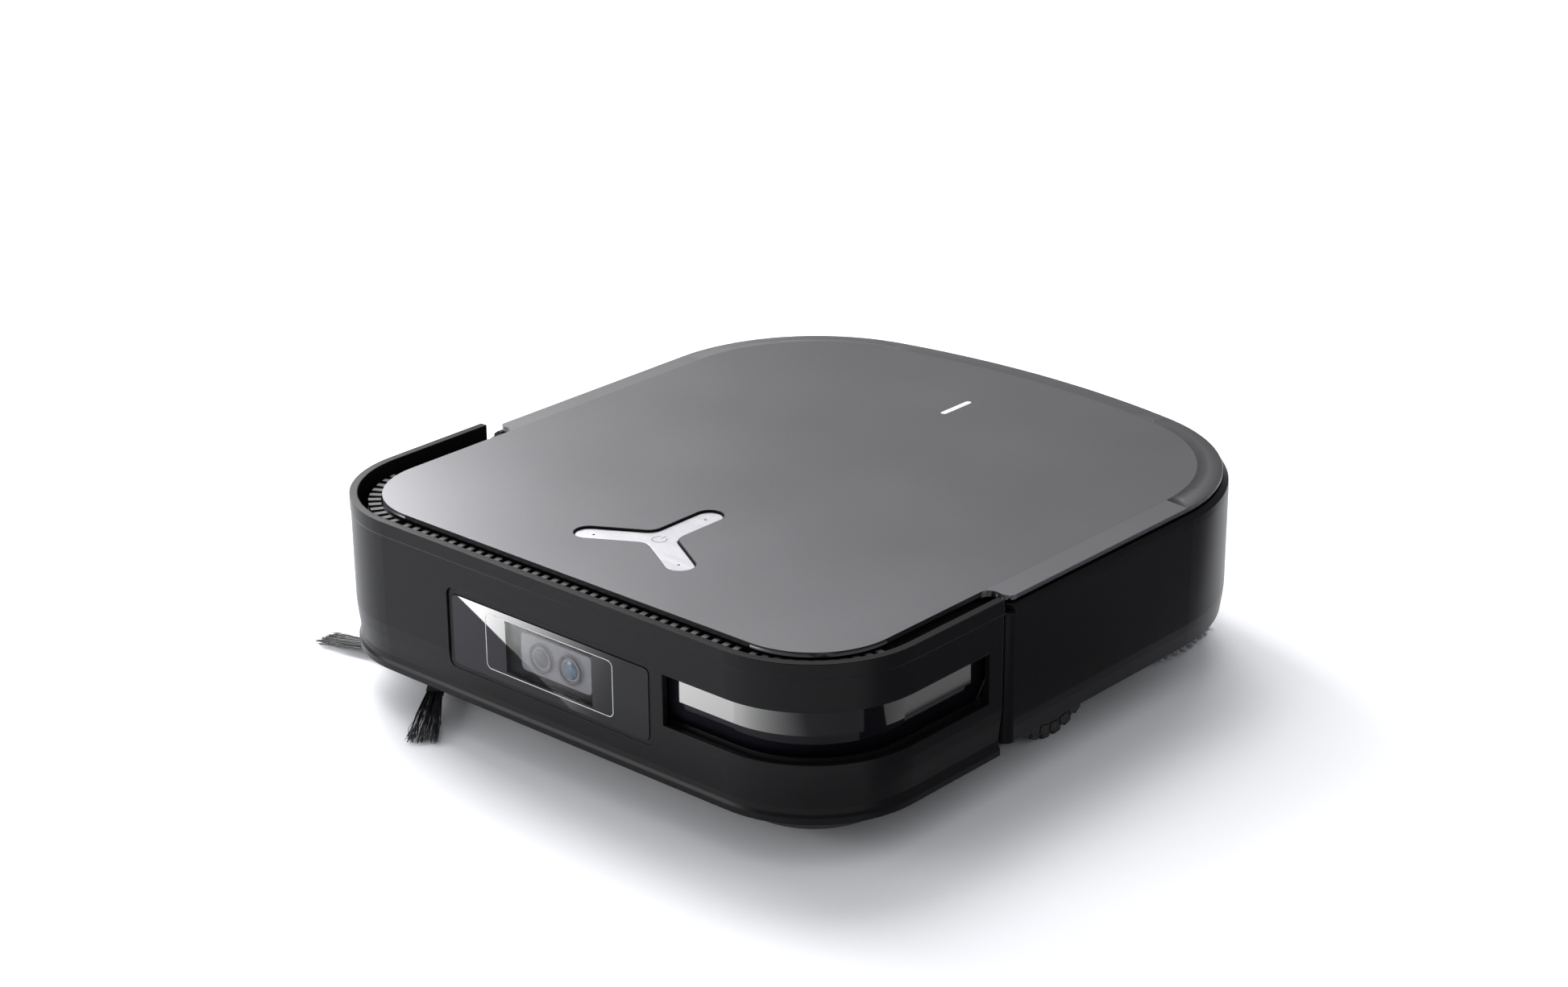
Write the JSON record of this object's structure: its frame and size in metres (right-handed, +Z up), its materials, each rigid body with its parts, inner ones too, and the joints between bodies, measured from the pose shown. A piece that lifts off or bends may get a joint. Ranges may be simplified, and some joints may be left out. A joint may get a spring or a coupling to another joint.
{
  "type": "robotic floor cleaner",
  "caption": "Low square-fronted vacuum and mop robot with a bumper, lift-off cover, Y-shaped button, drive wheels, rolling brush, corner brush and spinning mop pads.",
  "frame": {"origin": "on the floor under the middle of the body's plan outline, without the side brush", "axes": "+Z up from the floor, +Y to the rear, the bumper faces -Y, +X to the side with the front corner scanner"},
  "size_m": [0.3489, 0.3692, 0.095],
  "materials": {
    "pan_plastic": "fine texture",
    "shell_black": "satin black",
    "deck_plastic": "matte",
    "vent_black": "matte black",
    "battery_wrap": "shrink sleeve",
    "circuit_board": "solder mask",
    "motor_black": "matte",
    "white_plastic": "moulded",
    "wheel_plastic": "matte",
    "disc_plastic": "matte",
    "mop_fabric": "looped pile",
    "tank_clear": "translucent",
    "sensor_window": "polished, infrared pass",
    "sensor_metal": "satin",
    "contact_brass": "plated",
    "scanner_glass": "polished, infrared pass",
    "spring_steel": "wire",
    "screw_steel": "zinc",
    "switch_red": "moulded",
    "camera_window": "tinted, polished",
    "camera_plate": "matte",
    "cover_grey": "satin metallic",
    "bin_smoke": "smoked",
    "filter_paper": "pleated paper",
    "button_grey": "satin metallic",
    "tyre_rubber": "rubber",
    "fin_rubber": "silicone",
    "tuft_nylon": "nylon filament"
  },
  "bodies": {
    "chassis": {"chassis_tub": "pan_plastic", "front_frame": "vent_black", "deck_posts": "pan_plastic", "rear_shell": "shell_black", "deck": "deck_plastic", "vent_comb": "vent_black", "battery_pack": "battery_wrap", "battery_door": "pan_plastic", "main_board": "circuit_board", "blower_housing": "motor_black", "suction_duct": "deck_plastic", "roller_motor": "motor_black", "side_brush_motor": "motor_black", "caster_socket": "pan_plastic", "mop_lift_motor": "motor_black", "water_tank": "tank_clear", "water_pump": "motor_black", "speaker": "motor_black", "cliff_sensors": "sensor_window", "carpet_sensor": "sensor_metal", "charging_contacts": "contact_brass", "dock_receiver": "sensor_window", "scanner_housings": "vent_black", "scanner_windows": "scanner_glass", "bumper_sensors": "motor_black", "bumper_springs": "spring_steel", "shell_screws": "screw_steel", "button_board": "circuit_board"},
    "bumper": {"bumper_shell": "shell_black", "camera_bezel": "shell_black", "camera_glass": "camera_window", "camera_module": "camera_plate"},
    "cover": {"top_cover": "cover_grey", "cover_magnets": "screw_steel"},
    "bin": {"dust_bin": "bin_smoke", "dust_filter": "filter_paper"},
    "bin_lid_body": {"bin_lid": "bin_smoke"},
    "button": {"power_button": "button_grey"},
    "switch": {"main_switch": "switch_red"},
    "arm_left": {"wheel_arm_left": "motor_black"},
    "arm_right": {"wheel_arm_right": "motor_black"},
    "wheel_left": {"wheel_hub_left": "wheel_plastic", "tyre_left": "tyre_rubber"},
    "wheel_right": {"wheel_hub_right": "wheel_plastic", "tyre_right": "tyre_rubber"},
    "caster_swivel_body": {"caster_fork": "motor_black"},
    "caster_roll_body": {"caster_wheel": "wheel_plastic"},
    "main_brush": {"roller_core": "wheel_plastic", "roller_fins": "fin_rubber"},
    "guard": {"brush_guard": "deck_plastic"},
    "side_brush": {"side_brush_hub": "motor_black", "side_brush_tufts": "tuft_nylon"},
    "impeller": {"blower_impeller": "white_plastic"},
    "front_rotor": {"scanner_front_rotor": "sensor_metal"},
    "rear_rotor": {"scanner_rear_rotor": "sensor_metal"},
    "mop_lift_body": {"mop_lift_frame": "deck_plastic"},
    "mop_left": {"mop_disc_left": "disc_plastic", "mop_pad_left": "mop_fabric"},
    "mop_right": {"mop_disc_right": "disc_plastic", "mop_pad_right": "mop_fabric"}
  },
  "joints": [
    {"name": "bumper_press", "type": "slide", "parent": "chassis", "child": "bumper", "axis": [0, 1, 0], "range_m": [0, 0.002], "stiffness_N_per_m": 600, "springref_m": -0.002, "deforming": ["bumper_springs"]},
    {"name": "cover_lift", "type": "slide", "parent": "chassis", "child": "cover", "axis": [0, 0, 1], "range_m": [0, 0.15]},
    {"name": "bin_lift", "type": "slide", "parent": "chassis", "child": "bin", "axis": [0, 0, 1], "range_m": [0, 0.075]},
    {"name": "bin_lid_open", "type": "hinge", "parent": "bin", "child": "bin_lid_body", "pos_m": [0, 0.0676, 0.0862], "axis": [-1, 0, 0], "range_deg": [0, 50]},
    {"name": "button_press", "type": "slide", "parent": "chassis", "child": "button", "axis": [0, 0, -1], "range_m": [0, 0.0008], "stiffness_N_per_m": 1500, "springref_m": -0.0006},
    {"name": "switch_slide", "type": "slide", "parent": "chassis", "child": "switch", "axis": [1, 0, 0], "range_m": [0, 0.004]},
    {"name": "suspension_left", "type": "hinge", "parent": "chassis", "child": "arm_left", "pos_m": [-0.105, 0.048, 0.038], "axis": [1, 0, 0], "range_deg": [0, 22], "stiffness_Nm_per_rad": 0.15, "springref_deg": 68.75},
    {"name": "suspension_right", "type": "hinge", "parent": "chassis", "child": "arm_right", "pos_m": [0.105, 0.048, 0.038], "axis": [1, 0, 0], "range_deg": [0, 22], "stiffness_Nm_per_rad": 0.15, "springref_deg": 68.75},
    {"name": "wheel_spin_left", "type": "hinge", "parent": "arm_left", "child": "wheel_left", "pos_m": [-0.128, 0.003, 0.035], "axis": [1, 0, 0], "continuous": true},
    {"name": "wheel_spin_right", "type": "hinge", "parent": "arm_right", "child": "wheel_right", "pos_m": [0.128, 0.003, 0.035], "axis": [1, 0, 0], "continuous": true},
    {"name": "caster_swivel", "type": "hinge", "parent": "chassis", "child": "caster_swivel_body", "pos_m": [0, -0.124, 0.034], "axis": [0, 0, 1], "continuous": true},
    {"name": "caster_roll", "type": "hinge", "parent": "caster_swivel_body", "child": "caster_roll_body", "pos_m": [0, -0.117, 0.013], "axis": [1, 0, 0], "continuous": true},
    {"name": "main_brush_spin", "type": "hinge", "parent": "chassis", "child": "main_brush", "pos_m": [0, -0.038, 0.021], "axis": [1, 0, 0], "continuous": true},
    {"name": "guard_release", "type": "slide", "parent": "chassis", "child": "guard", "axis": [0, 0, -1], "range_m": [0, 0.004]},
    {"name": "side_brush_spin", "type": "hinge", "parent": "chassis", "child": "side_brush", "pos_m": [-0.116, -0.133, 0.02], "axis": [0, 0, 1], "continuous": true},
    {"name": "impeller_spin", "type": "hinge", "parent": "chassis", "child": "impeller", "pos_m": [0.078, 0.112, 0.06], "axis": [0, 0, 1], "continuous": true},
    {"name": "front_scan_spin", "type": "hinge", "parent": "chassis", "child": "front_rotor", "pos_m": [0.112, -0.128, 0.06], "axis": [0, 0, 1], "continuous": true},
    {"name": "rear_scan_spin", "type": "hinge", "parent": "chassis", "child": "rear_rotor", "pos_m": [-0.112, 0.122, 0.06], "axis": [0, 0, 1], "continuous": true},
    {"name": "mop_lift", "type": "slide", "parent": "chassis", "child": "mop_lift_body", "axis": [0, 0, 1], "range_m": [0, 0.01]},
    {"name": "mop_spin_left", "type": "hinge", "parent": "mop_lift_body", "child": "mop_left", "pos_m": [-0.069, 0.11, 0.01], "axis": [0, 0, 1], "continuous": true},
    {"name": "mop_spin_right", "type": "hinge", "parent": "mop_lift_body", "child": "mop_right", "pos_m": [0.069, 0.11, 0.01], "axis": [0, 0, 1], "continuous": true}
  ],
  "couplings": [
    {"joint": "bin_lift", "follows": "cover_lift", "ratio": 0.5},
    {"joint": "bin_lid_open", "follows": "cover_lift", "rad_per_m": 5.81},
    {"joint": "mop_spin_right", "follows": "mop_spin_left", "ratio": -1}
  ]
}
